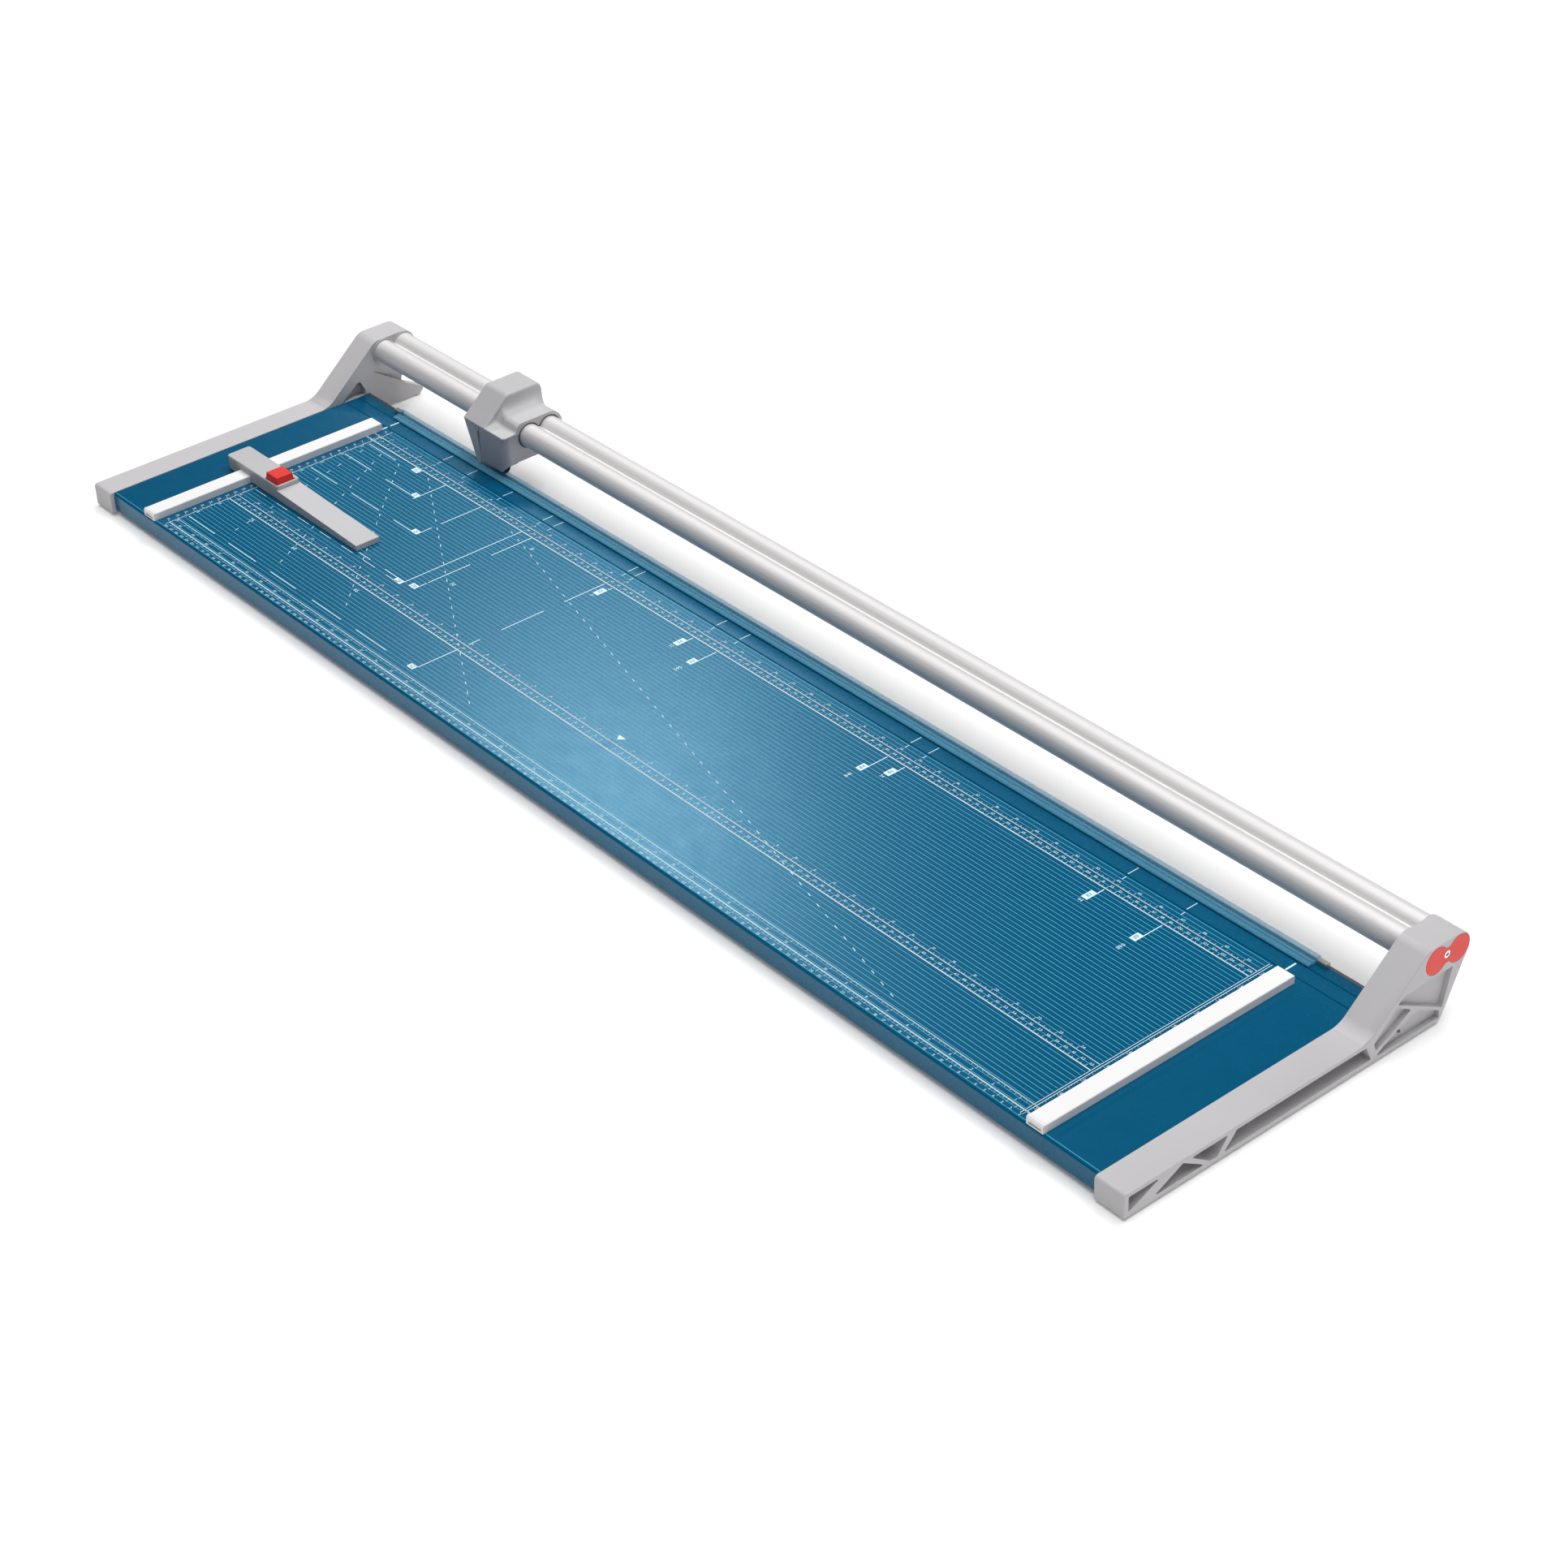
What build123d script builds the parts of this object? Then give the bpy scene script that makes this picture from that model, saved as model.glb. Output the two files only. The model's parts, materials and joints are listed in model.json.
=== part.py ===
from build123d import *
from math import cos, radians, sin, tan
import os

# Driving dimensions in millimetres: X runs along the cut, Y from the user to the rail, Z up.
# The origin is on the floor, under the middle of the whole machine.

# Table
TABLE_LENGTH = 1462        # between the cheeks
TABLE_TOP = 25             # working surface above the floor
TABLE_DEPTH = 322          # front edge to cutting edge
CUT_Y = 129                # cutting edge, the rear face of the counter blade
SHEET = 2                  # sheet steel thickness
FLANGE_BOTTOM = 4          # lower edge of the folded front flange
REAR_FLANGE_BOTTOM = 5
LIP = 8                    # return lip under the front flange
GROOVES = (-31.7, -15.4)   # scored lines in the table, measured from the cutting edge
GROOVE_WIDTH = 1.6
GROOVE_DEPTH = 0.8
FOLD_R = 2.5               # outer radius of the front bend
SHEET_START = 3            # the flat top begins this far behind the front
END_FOLD_YS = (-178, 112)  # folds screwed to the cheeks
STIFFENER_WIDTH = 40
STIFFENER_LENGTH = 1440
STIFFENER_BOTTOM = 9
STIFFENER_YS = (-100, 30)

# Counter blade
COUNTER_THICK = 3.4
COUNTER_BOTTOM = 3
COUNTER_SCREWS = 9
COUNTER_SCREW_PITCH = 170
COUNTER_SCREW_Z = 13
COUNTER_SCREW_R = 2.4
COUNTER_HEAD_R = 4.3
CLEARANCE = 0.2            # around a screw in its hole

# Guide rail: two tubes joined by a web
RAIL_Y = CUT_Y + 36.8
RAIL_Z = TABLE_TOP + 42.8
LOBE = 12.9                # each tube's centre from the middle of the rail
TUBE_R = 12.4
TUBE_BORE_R = 9.6
WEB = 5.2                  # half the height of the web
RAIL_LENGTH = 1515
RAIL_SCREW_R = 2.1

# Cheeks
CHEEK_IN = TABLE_LENGTH / 2
CHEEK_WIDTH = 32
CHEEK_OUT = CHEEK_IN + CHEEK_WIDTH
CHEEK_WALL = 12            # inner part of the cheek, with the longer heel
CHEEK_FRONT = -197.5
CHEEK_BOTTOM = 1.5
ARM_TOP = 25.8
SLOPE_FOOT_Y = 75.7        # where the arm's top meets the tower's front slope
SLOPE_ANGLE = 40
TOWER_ROUND = 14.6         # radius of the tower's back around the rear tube
TOWER_TOP = RAIL_Z + TOWER_ROUND
BACK_ANGLE = 26            # rear edge of the tower from the vertical
RIM_R = 14.4               # raised rim around the rail on the cheek's inner face
RIM_HEIGHT = 1.2
EDGE_FILLET = 1.2
FOOT_R = 8
FOOT_HEIGHT = 3.9
FOOT_X = CHEEK_IN + 16
FOOT_YS = (-180, 150)
CHEEK_SCREW_YS = (-150, -60, 40)
CHEEK_SCREW_Z = 14
CHEEK_SCREW_R = 2.4
CHEEK_SCREW_DEPTH = 10.5
ARM_POCKET_DEPTH = 14
TOWER_POCKET_DEPTH = 5

# Rail end caps
CAP_R = 13.1
CAP_LOBE = 13.2
CAP_THICK = 5.4
CAP_GAP = 0.15
CAP_WEB = 7.5              # half the height of the cap's waist
CAP_BLEND = 3
CAP_SCREW_HEAD_R = 3.6
CAP_FLOOR = 1.2            # cap left under the screw's head
SCREW_SINK = 0.4

# Side stops
STOP_IN = 650              # inner faces of the stops from the middle
STOP_WIDTH = 19
STOP_HEIGHT = 8
STOP_FRONT = CUT_Y - TABLE_DEPTH + 0.5
STOP_BACK = CUT_Y - 38.5
STOP_CAP_THICK = 3
STOP_SLOT_WIDTH = 6
STOP_SLOT_DEPTH = 3.5
STOP_SCREW_YS = (-150, -45, 70)
STOP_SCREW_R = 2

# Clamping strip, drawn in its raised rest position
STRIP_LENGTH = 1326
STRIP_LIFT = 1.2
STRIP_THICK = 1.6
STRIP_FRONT = -15.5        # from the cutting edge
STRIP_BACK = -0.6
RIDGE_WIDTH = 6.1
RIDGE_TOP = 7.25           # above the table
BEAD_Y = -9.8
BEAD_R = 0.9
TONGUE_LENGTH = 9.5
TONGUE_THICK = 1.9
BRACKET_LENGTH = 10.6
BRACKET_ROOF = 3.4         # inside height of the bracket
BRACKET_WALL = 0.8

# Cutting head, placed by its blade axis
BLADE_X = -489.5
BLADE_AXIS_Z = 20          # above the table
BLADE_R = 22
BLADE_THICK = 1.2
BLADE_GAP = 0.06           # running gap between blade and counter blade
HEAD_LEFT = BLADE_X - 45
HUMP_RIGHT = BLADE_X - 7.5
HEAD_RIGHT = BLADE_X + 25.5
HEAD_FRONT = -9.5          # from the cutting edge
HEAD_SPLIT_Z = 48.5        # between housing and blade cover, above the table
HEAD_CORNER_R = 4          # front right corner, seen from above
COVER_CORNER_R = 9
CARRIER_SCREWS = (-18, -11)    # from the blade axis
HOUSING_SCREWS = (-14, 16)
HEAD_BOTTOM = 26
HEAD_BACK = 66.3
HEAD_LEG = 7.5             # front face of the housing beside the rail
HUMP_TOP = 77.5
COLLAR_TOP = 59.8
CREST_R = 3                # rounded edge of the hump's right side
SWEEP_R = 12               # hollow curve from there down to the collar
BORE_R = 13.9              # bore for the glide bushes
BORE_WEB = 6.7
BUSH_LENGTH = 12
COVER_LEFT = BLADE_X - 26.5
COVER_WALL = 2
COVER_BOTTOM = 9
COVER_BACK_BOTTOM = 17
COVER_BACK = 43
FINGER_THICK = 1.5         # presser finger, running between the strip's bead and ridge
HUB_R = 6
HUB_FLANGE_R = 10
AXLE_R = 3

# Back stop on the left side stop
BACKSTOP_Y = CUT_Y - 190.5
BACKSTOP_HALF = 14
BACKSTOP_LEFT = -693
BLOCK_RIGHT = -597
TONGUE_END = -453
BLOCK_TOP = TABLE_TOP + 16.5
SEAM_Z = TABLE_TOP + 11.2  # the cover sits on the body here
TIP_TOP = TABLE_TOP + 6.5
BACKSTOP_GAP = 0.4         # over and beside the stop bar
BUTTON_X = -610.2
BUTTON_Y = BACKSTOP_Y - 1.5
BUTTON_HALF = (11.2, 11)
BUTTON_HEIGHT = 7          # above the block
BUTTON_TRAVEL = 2.5
SHOE_TRAVEL = 0.8
SHOE_LENGTH = 9.5
SHOE_SPRING = 8.5
SHOE_SPRING_R = 1.8
SHOE_HALF = 8              # half the brake shoe's width along the stop bar
SLIDE_HALF = 3.7
STEM_HALF = 3.5
CHANNEL_HALF = 4           # room for the slide and the stem
STEM_WIDTH = 9


def section(x, y=0.0, z=0.0):
    """Plane across the machine at x, with its own x along Y and its own y along Z."""
    return Plane(origin=(x, y, z), x_dir=(0, 1, 0), z_dir=(1, 0, 0))


def elevation(y):
    """Plane facing the user at y, with its own x along X and its own y along Z."""
    return Plane(origin=(0, y, 0), x_dir=(1, 0, 0), z_dir=(0, -1, 0))


def from_edge(*points):
    """Points given from the cutting edge and the table's surface, as machine Y and Z."""
    return [(CUT_Y + y, TABLE_TOP + z) for y, z in points]


def outline(points, radius=0.0):
    """Face inside a closed outline with rounded corners, in its own plane."""
    with BuildSketch(mode=Mode.PRIVATE) as face:
        with BuildLine():
            FilletPolyline(*points, radius=radius, close=True)
        make_face()
    return face.sketch


def twin_circles(radius, web, lobe=LOBE):
    """Add the rail's figure-8 outline to the sketch being built."""
    with Locations((-lobe, 0), (lobe, 0)):
        Circle(radius)
    Rectangle(2 * lobe, 2 * web)


def cap_outline(growth=0.0):
    """The end cap's outline, its waist blended into the two round lobes."""
    waist = CAP_WEB + growth
    with BuildSketch(mode=Mode.PRIVATE) as face:
        twin_circles(CAP_R + growth, waist, CAP_LOBE)
        fillet([v for v in face.vertices() if abs(abs(v.Y) - waist) < 0.01], CAP_BLEND)
    return face.sketch


def block(x, y, z, mode=Mode.ADD):
    """Box between two limits on each axis."""
    with Locations((sum(x) / 2, sum(y) / 2, sum(z) / 2)):
        Box(x[1] - x[0], y[1] - y[0], z[1] - z[0], mode=mode)


def rod_x(x, y, z, radius, mode=Mode.ADD):
    """Cylinder along X between two limits."""
    with Locations(Location((sum(x) / 2, y, z), (0, 90, 0))):
        Cylinder(radius, x[1] - x[0], mode=mode)


def rod_y(x, y, z, radius, mode=Mode.ADD):
    """Cylinder along Y between two limits."""
    with Locations(Location((x, sum(y) / 2, z), (90, 0, 0))):
        Cylinder(radius, y[1] - y[0], mode=mode)


def rod_z(x, y, z, radius, mode=Mode.ADD):
    """Cylinder along Z between two limits."""
    with Locations((x, y, sum(z) / 2)):
        Cylinder(radius, z[1] - z[0], mode=mode)


def save(builder, label):
    """Label a finished piece and write it to its own file."""
    builder.part.label = label
    export_step(builder.part, f"parts/{label}.step")


os.makedirs("parts", exist_ok=True)

TABLE_FRONT = CUT_Y - TABLE_DEPTH
UNDERSIDE = TABLE_TOP - SHEET
REAR_FLANGE_OUT = CUT_Y - COUNTER_THICK
REAR_FLANGE_IN = REAR_FLANGE_OUT - SHEET


# ---- Table ----

def groove(offset):
    """Three points of one scored line across the table's top."""
    y = CUT_Y + offset
    return [
        (y - GROOVE_WIDTH / 2, TABLE_TOP),
        (y, TABLE_TOP - GROOVE_DEPTH),
        (y + GROOVE_WIDTH / 2, TABLE_TOP),
    ]


def counter_screw_xs():
    """Positions of the counter blade's screws, centred on the machine."""
    first = -(COUNTER_SCREWS - 1) / 2
    return [(first + i) * COUNTER_SCREW_PITCH for i in range(COUNTER_SCREWS)]


# one folded sheet, drawn as its flat top and the folds around it

with BuildPart() as table_plate:
    with BuildSketch(section(-CHEEK_IN)):
        add(outline([
            (TABLE_FRONT + SHEET_START, UNDERSIDE),
            (TABLE_FRONT + SHEET_START, TABLE_TOP),
            *groove(GROOVES[0]),
            *groove(GROOVES[1]),
            (REAR_FLANGE_OUT, TABLE_TOP),
            (REAR_FLANGE_OUT, UNDERSIDE),
        ]))
    extrude(amount=TABLE_LENGTH)
    for side in (-1, 1):
        for y in STOP_SCREW_YS:
            x = side * (STOP_IN + STOP_WIDTH / 2)
            rod_z(x, y, (UNDERSIDE, TABLE_TOP), STOP_SCREW_R + CLEARANCE / 2, Mode.SUBTRACT)
save(table_plate, "table_plate")

with BuildPart() as table_front_fold:
    inner_y = TABLE_FRONT + SHEET
    with BuildSketch(section(-CHEEK_IN)):
        add(outline([
            (TABLE_FRONT + SHEET_START, TABLE_TOP),
            (TABLE_FRONT, TABLE_TOP),
            (TABLE_FRONT, FLANGE_BOTTOM),
            (inner_y + LIP, FLANGE_BOTTOM),
            (inner_y + LIP, FLANGE_BOTTOM + SHEET),
            (inner_y, FLANGE_BOTTOM + SHEET),
            (inner_y, UNDERSIDE),
            (TABLE_FRONT + SHEET_START, UNDERSIDE),
        ], [0, FOLD_R, FOLD_R, 0, 0, 0.5, 0.5, 0]))
    extrude(amount=TABLE_LENGTH)
save(table_front_fold, "table_front_fold")

with BuildPart() as table_rear_fold:
    rear_wall = (REAR_FLANGE_IN, REAR_FLANGE_OUT)
    block((-CHEEK_IN, CHEEK_IN), rear_wall, (REAR_FLANGE_BOTTOM, UNDERSIDE))
    for x in counter_screw_xs():
        rod_y(x, rear_wall, COUNTER_SCREW_Z, COUNTER_SCREW_R + CLEARANCE, Mode.SUBTRACT)
save(table_rear_fold, "table_rear_fold")

for name, side in (("left", -1), ("right", 1)):
    end = sorted((side * CHEEK_IN, side * (CHEEK_IN - SHEET)))
    with BuildPart() as end_fold:
        block(end, END_FOLD_YS, (REAR_FLANGE_BOTTOM, UNDERSIDE))
        for y in CHEEK_SCREW_YS:
            rod_x(end, y, CHEEK_SCREW_Z, CHEEK_SCREW_R + CLEARANCE, Mode.SUBTRACT)
    save(end_fold, f"table_end_fold_{name}")

for label, y in zip(("stiffener_front", "stiffener_rear"), STIFFENER_YS):
    half = STIFFENER_WIDTH / 2
    with BuildPart() as stiffener:
        with BuildSketch(section(-STIFFENER_LENGTH / 2)):
            add(outline([
                (y - half, UNDERSIDE),
                (y - half, STIFFENER_BOTTOM),
                (y + half, STIFFENER_BOTTOM),
                (y + half, UNDERSIDE),
                (y + half - SHEET, UNDERSIDE),
                (y + half - SHEET, STIFFENER_BOTTOM + SHEET),
                (y - half + SHEET, STIFFENER_BOTTOM + SHEET),
                (y - half + SHEET, UNDERSIDE),
            ]))
        extrude(amount=STIFFENER_LENGTH)
    save(stiffener, label)


# ---- Counter blade ----

with BuildPart() as counter_blade:
    block((-CHEEK_IN, CHEEK_IN), (REAR_FLANGE_OUT, CUT_Y), (COUNTER_BOTTOM, TABLE_TOP))
    for x in counter_screw_xs():
        with Locations(Plane(origin=(x, CUT_Y, COUNTER_SCREW_Z), z_dir=(0, 1, 0))):
            CounterSinkHole(radius=COUNTER_SCREW_R + CLEARANCE, counter_sink_radius=COUNTER_HEAD_R + 0.5)
save(counter_blade, "counter_blade")

with BuildPart() as counter_blade_screws:
    for x in counter_screw_xs():
        tip_y = REAR_FLANGE_IN - 2
        with BuildSketch(Plane(origin=(x, CUT_Y - 0.3, COUNTER_SCREW_Z), x_dir=(1, 0, 0), z_dir=(0, -1, 0))):
            Circle(COUNTER_HEAD_R)
        extrude(amount=COUNTER_HEAD_R - COUNTER_SCREW_R, taper=45)
        rod_y(x, (tip_y, CUT_Y - 1), COUNTER_SCREW_Z, COUNTER_SCREW_R)
        block((x - 0.5, x + 0.5), (CUT_Y - 1.2, CUT_Y), (COUNTER_SCREW_Z - 3, COUNTER_SCREW_Z + 3),
              Mode.SUBTRACT)
save(counter_blade_screws, "counter_blade_screws")


# ---- Cheeks ----

def back_y(z):
    """Y of the tower's rear edge at a height: a line tangent to the round behind the rail."""
    angle = radians(BACK_ANGLE)
    return RAIL_Y + LOBE + TOWER_ROUND / cos(angle) + (z - RAIL_Z) * tan(angle)


def slope_y(z):
    """Y of the tower's front slope at a height."""
    return SLOPE_FOOT_Y + (z - ARM_TOP) / tan(radians(SLOPE_ANGLE))


tower_front = [
    (CHEEK_FRONT, CHEEK_BOTTOM),
    (CHEEK_FRONT, ARM_TOP),
    (SLOPE_FOOT_Y, ARM_TOP),
    (slope_y(TOWER_TOP), TOWER_TOP),
    (back_y(TOWER_TOP), TOWER_TOP),
]
tower_front_radii = [2, 3.5, 28, 16, TOWER_ROUND - 0.01]
heel = [(back_y(22), 22), (190.5, 12.5), (-CHEEK_FRONT, 8), (-CHEEK_FRONT, 5.5), (193, CHEEK_BOTTOM)]
heel_radii = [5, 6, 0.8, 0.8, 1.5]
outer_heel = [(back_y(CHEEK_BOTTOM), CHEEK_BOTTOM)]

arm_pockets = [
    [(-192.5, 21.8), (-157.5, 21.8), (-192.5, 6.5)],
    [(-134, 21.8), (-110, 6.5), (-166, 6.5)],
    [(-125.3, 21.8), (-84.3, 21.8), (-96, 6.5), (-103.5, 6.5)],
    [(-75, 21.8), (73, 21.8), (80, 6.5), (-89, 6.5), (-79, 17)],
]
tower_pockets = [
    [(107, 44.6), (125.5, 33.2), (103, 20.4), (85, 12.4), (82.6, 20.3)],
    [(133, 29), (160.5, 14), (161, 6), (86, 6), (88.5, 9), (106, 18.4)],
    [(107.9, 46.6), (118, 51.9), (173.7, 52.4), (164, 15.1)],
]
deep_pockets = arm_pockets + [[(115.5, 21.5), (121.5, 8), (107, 18)]]

with BuildPart() as cheek_right:
    with BuildSketch(section(CHEEK_IN)):
        add(outline(tower_front + heel, tower_front_radii + heel_radii))
    extrude(amount=CHEEK_WALL)
    with BuildSketch(section(CHEEK_IN + CHEEK_WALL)):
        add(outline(tower_front + outer_heel, tower_front_radii + [7]))
    extrude(amount=CHEEK_WIDTH - CHEEK_WALL)
    fillet(cheek_right.faces().sort_by(Axis.X)[-1].edges(), EDGE_FILLET)
    for pockets, depth in ((tower_pockets, TOWER_POCKET_DEPTH), (deep_pockets, ARM_POCKET_DEPTH)):
        with BuildSketch(section(CHEEK_OUT - depth)):
            for pocket in pockets:
                add(outline(pocket, 1))
        extrude(amount=depth, mode=Mode.SUBTRACT)
    # raised rim around the rail, then its bore and the seat of the end cap
    with BuildSketch(section(CHEEK_IN - RIM_HEIGHT, RAIL_Y, RAIL_Z)):
        twin_circles(RIM_R, WEB + 2)
    extrude(amount=RIM_HEIGHT)
    with BuildSketch(section(CHEEK_IN - RIM_HEIGHT, RAIL_Y, RAIL_Z)):
        twin_circles(TUBE_R + 0.1, WEB + 0.1)
    extrude(amount=RIM_HEIGHT + CHEEK_WIDTH, mode=Mode.SUBTRACT)
    with BuildSketch(section(CHEEK_OUT - CAP_THICK, RAIL_Y, RAIL_Z)):
        add(cap_outline(CAP_GAP))
    extrude(amount=CAP_THICK, mode=Mode.SUBTRACT)
    # recess for the end of the clamping strip, and the lightening recess above the heel
    with BuildSketch(section(CHEEK_IN)):
        add(outline([(93, TABLE_TOP), (115, 42), (119, 41.5), (124, 31), (124, TABLE_TOP)]))
    extrude(amount=9, mode=Mode.SUBTRACT)
    with BuildSketch(section(CHEEK_IN)):
        add(outline([(135, 49), (185, 26.5), (178, 20.5)]))
    extrude(amount=5, mode=Mode.SUBTRACT)
    for y in FOOT_YS:
        rod_z(FOOT_X, y, (CHEEK_BOTTOM, FOOT_HEIGHT + 0.1), FOOT_R + 0.1, Mode.SUBTRACT)
    for y in CHEEK_SCREW_YS:
        rod_x((CHEEK_IN, CHEEK_IN + CHEEK_SCREW_DEPTH), y, CHEEK_SCREW_Z, CHEEK_SCREW_R + 0.1, Mode.SUBTRACT)
save(cheek_right, "cheek_right")

with BuildPart() as cheek_left:
    mirror(cheek_right.part, about=Plane.YZ)
save(cheek_left, "cheek_left")

with BuildPart() as cheek_screws:
    for side in (-1, 1):
        inner = side * (CHEEK_IN - SHEET)
        for y in CHEEK_SCREW_YS:
            rod_x(sorted((inner - side * 2.8, inner)), y, CHEEK_SCREW_Z, 4.6)
            rod_x(sorted((inner, inner + side * 12)), y, CHEEK_SCREW_Z, CHEEK_SCREW_R)
save(cheek_screws, "cheek_screws")

with BuildPart() as feet:
    for side in (-1, 1):
        for y in FOOT_YS:
            rod_z(side * FOOT_X, y, (0, FOOT_HEIGHT), FOOT_R)
save(feet, "feet")


# ---- Guide rail and its end caps ----

with BuildPart() as guide_rail:
    with BuildSketch(section(-RAIL_LENGTH / 2, RAIL_Y, RAIL_Z)):
        twin_circles(TUBE_R, WEB)
        with Locations((-LOBE, 0), (LOBE, 0)):
            Circle(TUBE_BORE_R, mode=Mode.SUBTRACT)
        Circle(RAIL_SCREW_R, mode=Mode.SUBTRACT)
    extrude(amount=RAIL_LENGTH)
save(guide_rail, "guide_rail")

with BuildPart() as rail_cap_right:
    with BuildSketch(section(CHEEK_OUT - CAP_THICK + 0.1, RAIL_Y, RAIL_Z)):
        add(cap_outline())
    extrude(amount=CAP_THICK - 0.1)
    chamfer(rail_cap_right.faces().sort_by(Axis.X)[-1].edges(), 0.4)
    rod_x((CHEEK_OUT - CAP_THICK, CHEEK_OUT), RAIL_Y, RAIL_Z, RAIL_SCREW_R + 0.1, Mode.SUBTRACT)
    screw_seat = (CHEEK_OUT - CAP_THICK + CAP_FLOOR, CHEEK_OUT)
    rod_x(screw_seat, RAIL_Y, RAIL_Z, CAP_SCREW_HEAD_R + 0.3, Mode.SUBTRACT)
save(rail_cap_right, "rail_cap_right")

with BuildPart() as rail_screw_right:
    head_seat = CHEEK_OUT - CAP_THICK + CAP_FLOOR
    head_face = CHEEK_OUT - SCREW_SINK
    rod_x((head_seat, head_face), RAIL_Y, RAIL_Z, CAP_SCREW_HEAD_R)
    rod_x((head_seat - 26, head_seat), RAIL_Y, RAIL_Z, RAIL_SCREW_R - 0.05)
    with BuildSketch(section(head_face - 2.6, RAIL_Y, RAIL_Z)):
        RegularPolygon(1.9, 6)
    extrude(amount=2.6, mode=Mode.SUBTRACT)
save(rail_screw_right, "rail_screw_right")

for label, right_piece in (("rail_cap_left", rail_cap_right), ("rail_screw_left", rail_screw_right)):
    with BuildPart() as left_piece:
        mirror(right_piece.part, about=Plane.YZ)
    save(left_piece, label)


# ---- Side stops ----

stop_screw_top = TABLE_TOP + 6

for name, side in (("left", -1), ("right", 1)):
    centre = side * (STOP_IN + STOP_WIDTH / 2)
    width = sorted((side * STOP_IN, side * (STOP_IN + STOP_WIDTH)))
    with BuildPart() as stop_bar:
        block(width, (STOP_FRONT + STOP_CAP_THICK, STOP_BACK), (TABLE_TOP, TABLE_TOP + STOP_HEIGHT))
        chamfer(stop_bar.faces().sort_by(Axis.Z)[-1].edges(), 0.6)
        slot = (centre - STOP_SLOT_WIDTH / 2, centre + STOP_SLOT_WIDTH / 2)
        block(slot, (STOP_FRONT, STOP_BACK), (TABLE_TOP, TABLE_TOP + STOP_SLOT_DEPTH), Mode.SUBTRACT)
        for y in STOP_SCREW_YS:
            rod_z(centre, y, (TABLE_TOP, stop_screw_top + 0.5), STOP_SCREW_R + 0.05, Mode.SUBTRACT)
    save(stop_bar, f"side_stop_{name}")

    with BuildPart() as stop_cap:
        block(width, (STOP_FRONT, STOP_FRONT + STOP_CAP_THICK), (TABLE_TOP, TABLE_TOP + STOP_HEIGHT))
        chamfer(stop_cap.edges().filter_by(Axis.X).group_by(Axis.Z)[-1].sort_by(Axis.Y)[0], 1.4)
        slit = (centre - 7, centre + 7)
        block(slit, (STOP_FRONT, STOP_FRONT + 1.5), (TABLE_TOP + 1.2, TABLE_TOP + 3.4), Mode.SUBTRACT)
    save(stop_cap, f"stop_cap_{name}")

with BuildPart() as stop_screws:
    for side in (-1, 1):
        for y in STOP_SCREW_YS:
            x = side * (STOP_IN + STOP_WIDTH / 2)
            rod_z(x, y, (UNDERSIDE - 2.4, UNDERSIDE), 3.6)
            rod_z(x, y, (UNDERSIDE, stop_screw_top), STOP_SCREW_R)
save(stop_screws, "stop_screws")


# ---- Clamping strip, its brackets and springs ----

strip_bottom = TABLE_TOP + STRIP_LIFT
strip_top = strip_bottom + STRIP_THICK
strip_front = CUT_Y + STRIP_FRONT
strip_back = CUT_Y + STRIP_BACK
ridge_r = RIDGE_WIDTH / 2
ridge_y = strip_back - ridge_r
ridge_z = TABLE_TOP + RIDGE_TOP - ridge_r
tongue_y = (ridge_y - 1.85, ridge_y + 1.85)

with BuildPart() as clamp_strip:
    with BuildSketch(section(-STRIP_LENGTH / 2)):
        add(outline([
            (strip_front, strip_bottom),
            (strip_front, strip_top - 0.8),
            (strip_front + 0.8, strip_top),
            (strip_back, strip_top),
            (strip_back, strip_bottom),
        ]))
        with Locations((ridge_y, (strip_bottom + ridge_z) / 2)):
            Rectangle(RIDGE_WIDTH, ridge_z - strip_bottom)
        with Locations((ridge_y, ridge_z)):
            Circle(ridge_r)
        with Locations((CUT_Y + BEAD_Y, strip_top)):
            Circle(BEAD_R)
    extrude(amount=STRIP_LENGTH)
    for side in (-1, 1):
        reach = sorted((side * STRIP_LENGTH / 2, side * (STRIP_LENGTH / 2 + TONGUE_LENGTH)))
        block(reach, tongue_y, (strip_bottom, strip_bottom + TONGUE_THICK))
save(clamp_strip, "clamp_strip")

for name, side in (("left", -1), ("right", 1)):
    near = side * (STRIP_LENGTH / 2 + 0.4)
    far = near + side * BRACKET_LENGTH
    reach = sorted((near, far))
    with BuildPart() as bracket:
        outer = (ridge_y - 2.85, ridge_y + 2.85)
        block(reach, outer, (TABLE_TOP, TABLE_TOP + BRACKET_ROOF + 1))
        chamfer(bracket.edges().filter_by(Axis.X).group_by(Axis.Z)[-1], 0.6)
        inner = (outer[0] + BRACKET_WALL, outer[1] - BRACKET_WALL)
        channel = sorted((near, far - side * 0.8))
        block(channel, inner, (TABLE_TOP, TABLE_TOP + BRACKET_ROOF), Mode.SUBTRACT)
    save(bracket, f"strip_bracket_{name}")

    spring_x = (reach[0] + 1, reach[1] - 1.4)
    middle = sum(spring_x) / 2
    with BuildPart() as leaf:
        with BuildSketch(elevation(ridge_y + 1.5)):
            add(outline([
                (spring_x[0], TABLE_TOP),
                (spring_x[0] + 2, TABLE_TOP),
                (middle, strip_bottom - 0.35),
                (spring_x[1] - 2, TABLE_TOP),
                (spring_x[1], TABLE_TOP),
                (spring_x[1] - 1.6, TABLE_TOP + 0.3),
                (middle, strip_bottom),
                (spring_x[0] + 1.6, TABLE_TOP + 0.3),
            ]))
        extrude(amount=3)
    save(leaf, f"strip_spring_{name}")


# ---- Cutting head ----

split_z = TABLE_TOP + HEAD_SPLIT_Z
bottom_z = TABLE_TOP + HEAD_BOTTOM
front_y = CUT_Y + HEAD_FRONT
axis_z = TABLE_TOP + BLADE_AXIS_Z


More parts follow.
